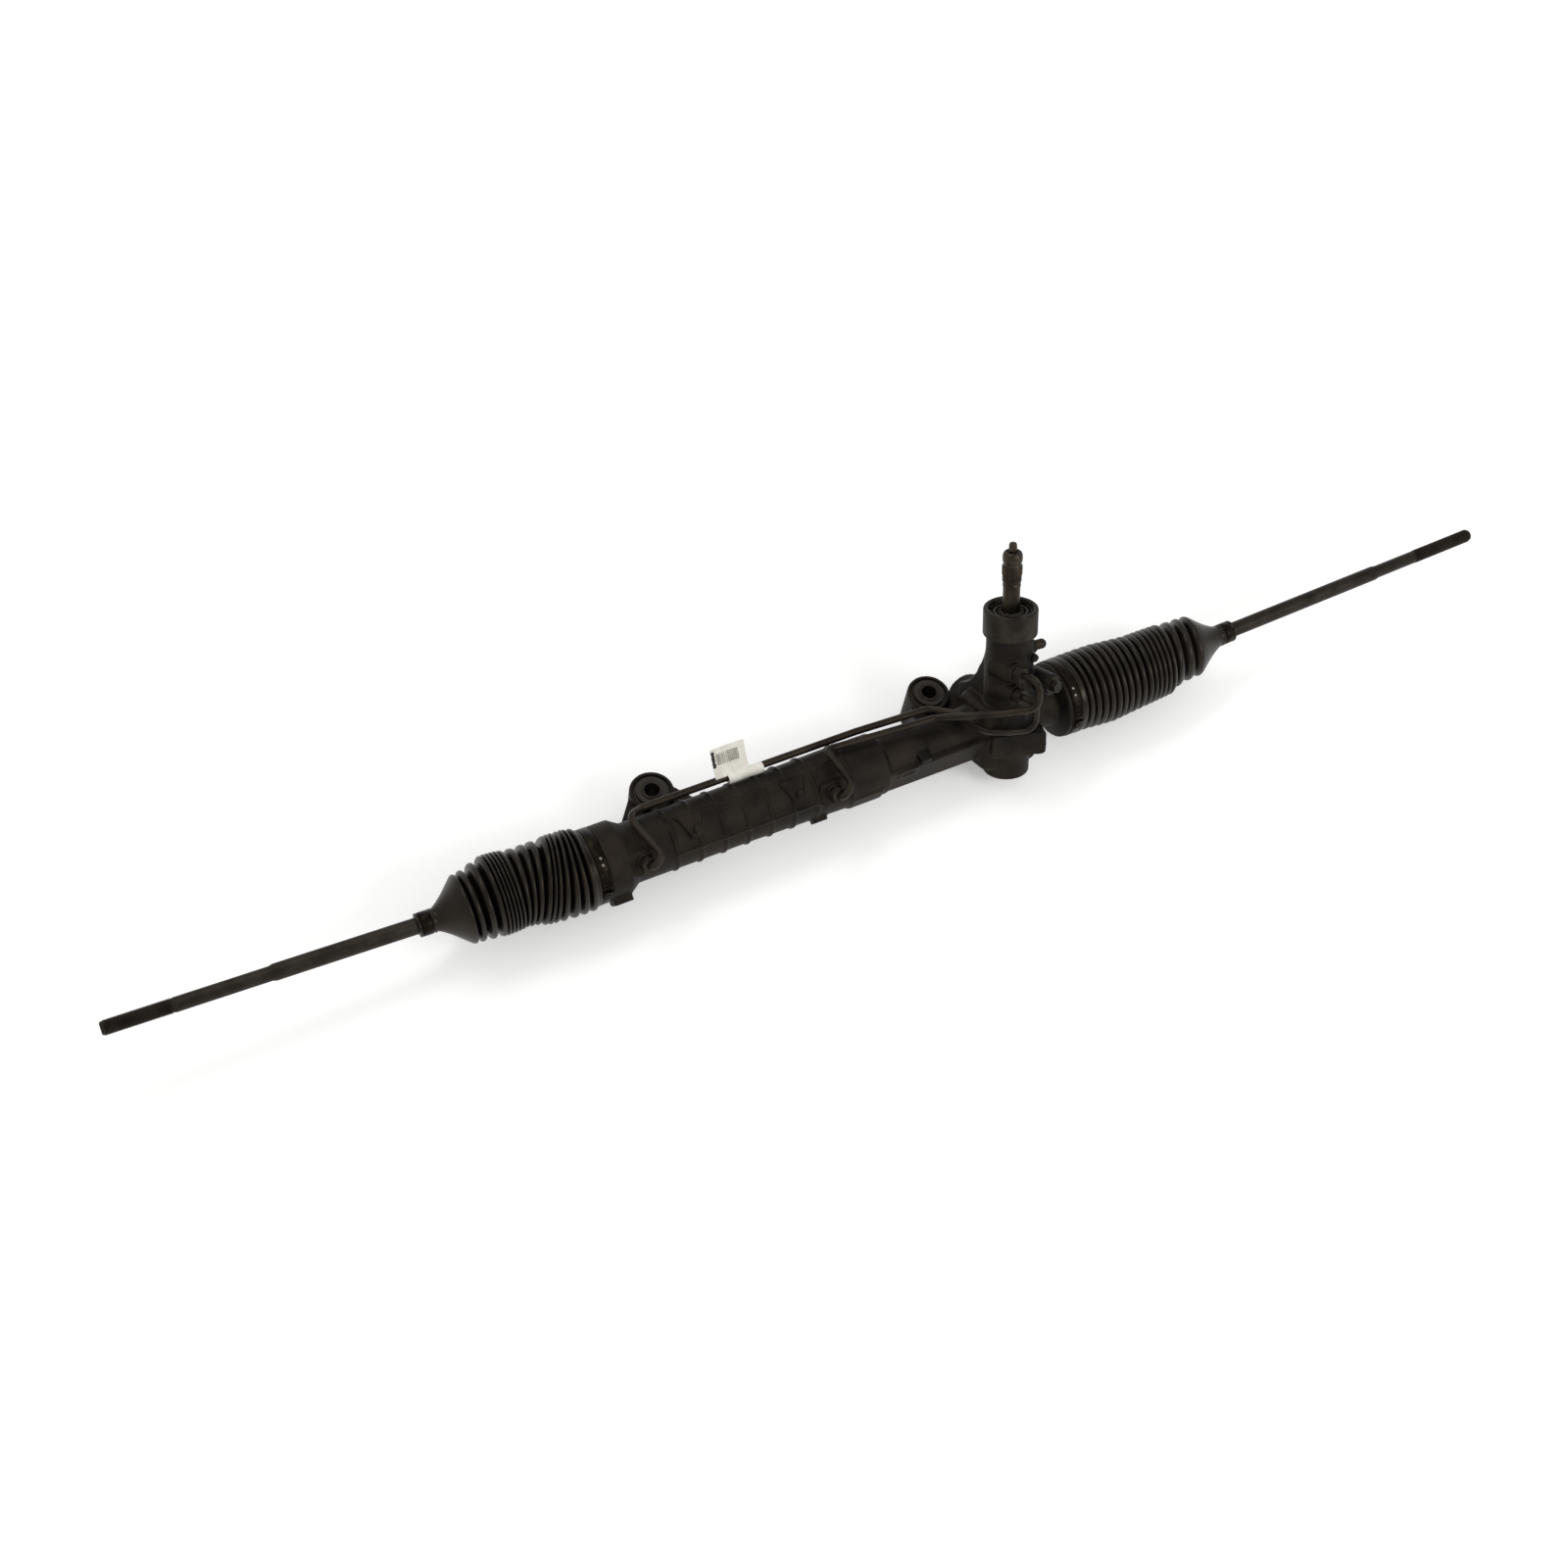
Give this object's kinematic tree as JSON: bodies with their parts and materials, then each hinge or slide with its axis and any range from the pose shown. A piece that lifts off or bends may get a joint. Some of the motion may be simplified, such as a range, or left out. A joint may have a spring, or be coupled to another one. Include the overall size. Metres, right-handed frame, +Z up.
{
  "type": "steering_rack",
  "caption": "Hydraulic rack-and-pinion steering rack with a leaning pinion tower, corrugated boots, bent cylinder pipes and long threaded tie rods.",
  "frame": {"origin": "middle of the left mounting bore", "axes": "+X along the rack bar towards the pinion end, +Z up along the mounting bolts, +Y to the rear, from the rack bar towards the mounting bores' side"},
  "size_m": [1.2706, 0.1142, 0.1985],
  "materials": {
    "cast_aluminium": "Dark, dull casting with a fine cast grain",
    "machined_steel": "Turned steel with a film of dark oil",
    "dark_steel": "Phosphated steel, dull dark grey-brown",
    "boot_rubber": "Black rubber with a soft sheen",
    "seal_rubber": "Dull black moulded rubber",
    "nylon": "Natural nylon, satin",
    "clamp_steel": "Thin stainless band, softly brushed",
    "pipe_steel": "Coated steel pipe, satin grey-brown",
    "tag_paper": "White label paper, matte"
  },
  "bodies": {
    "housing": {"rack_housing": "cast_aluminium", "left_bush_rubber": "seal_rubber", "right_bush_rubber": "seal_rubber", "left_bush_sleeve": "dark_steel", "right_bush_sleeve": "dark_steel", "cylinder_liner": "dark_steel", "left_bulkhead": "dark_steel", "left_rod_seal": "seal_rubber", "inner_rod_seal": "seal_rubber", "bulkhead_snap_ring": "dark_steel", "pinion_bearing_outer": "machined_steel", "pinion_end_cap": "dark_steel", "pinion_seal": "seal_rubber", "upper_shaft_bearing": "dark_steel", "upper_shaft_seal": "seal_rubber", "valve_cap": "dark_steel", "bearing_lock_ring": "dark_steel", "dust_seal": "seal_rubber", "rack_guide": "machined_steel", "guide_spring": "clamp_steel", "guide_plug": "dark_steel", "guide_lock_nut": "dark_steel", "far_cylinder_pipe": "pipe_steel", "near_cylinder_pipe": "pipe_steel", "pipe_union_nuts": "dark_steel", "pressure_port_plug": "dark_steel", "return_line_stub": "pipe_steel", "paper_tag": "tag_paper", "left_boot": "boot_rubber", "right_boot": "boot_rubber", "left_boot_clamp": "clamp_steel", "right_boot_clamp": "clamp_steel"},
    "rack": {"rack_bar": "machined_steel", "rack_piston": "machined_steel", "piston_ring": "nylon", "left_ball_housing": "machined_steel", "right_ball_housing": "machined_steel"},
    "left_seat": {"left_ball_seat": "nylon"},
    "right_seat": {"right_ball_seat": "nylon"},
    "left_rod": {"left_tie_rod": "dark_steel", "left_rod_clamp": "clamp_steel"},
    "right_rod": {"right_tie_rod": "dark_steel", "right_rod_clamp": "clamp_steel"},
    "pinion": {"pinion_shaft": "machined_steel", "valve_sleeve": "machined_steel", "valve_sleeve_rings": "nylon", "valve_sleeve_pin": "machined_steel", "pinion_nut": "machined_steel", "pinion_bearing_inner": "machined_steel"},
    "input_shaft": {"input_shaft": "machined_steel", "torsion_bar": "machined_steel"}
  },
  "joints": [
    {"name": "rack_slide", "type": "slide", "parent": "housing", "child": "rack", "axis": [1, 0, 0], "range_m": [-0.0685, 0.0515], "deforming": ["left_boot", "right_boot"]},
    {"name": "left_steer_swing", "type": "hinge", "parent": "rack", "child": "left_seat", "pos_m": [-0.1235, -0.0452, 0.0173], "axis": [0, 0, 1], "range_deg": [-12, 12]},
    {"name": "left_bump_swing", "type": "hinge", "parent": "left_seat", "child": "left_rod", "pos_m": [-0.1235, -0.0452, 0.0173], "axis": [0, 1, 0], "range_deg": [-22, 22]},
    {"name": "right_steer_swing", "type": "hinge", "parent": "rack", "child": "right_seat", "pos_m": [0.4545, -0.0452, 0.0173], "axis": [0, 0, 1], "range_deg": [-12, 12]},
    {"name": "right_bump_swing", "type": "hinge", "parent": "right_seat", "child": "right_rod", "pos_m": [0.4545, -0.0452, 0.0173], "axis": [0, 1, 0], "range_deg": [-22, 22]},
    {"name": "pinion_spin", "type": "hinge", "parent": "housing", "child": "pinion", "pos_m": [0.3046, -0.05788, 0.02369], "axis": [0.0699, 0.4488, 0.8909], "range_deg": [-420.5, 559.31]},
    {"name": "valve_twist", "type": "hinge", "parent": "pinion", "child": "input_shaft", "pos_m": [0.3088, -0.03095, 0.07714], "axis": [0.0699, 0.4488, 0.8909], "range_deg": [-3.5, 3.5], "stiffness_Nm_per_rad": 80}
  ],
  "couplings": [
    {"joint": "pinion_spin", "follows": "rack_slide", "rad_per_m": -142.51}
  ]
}
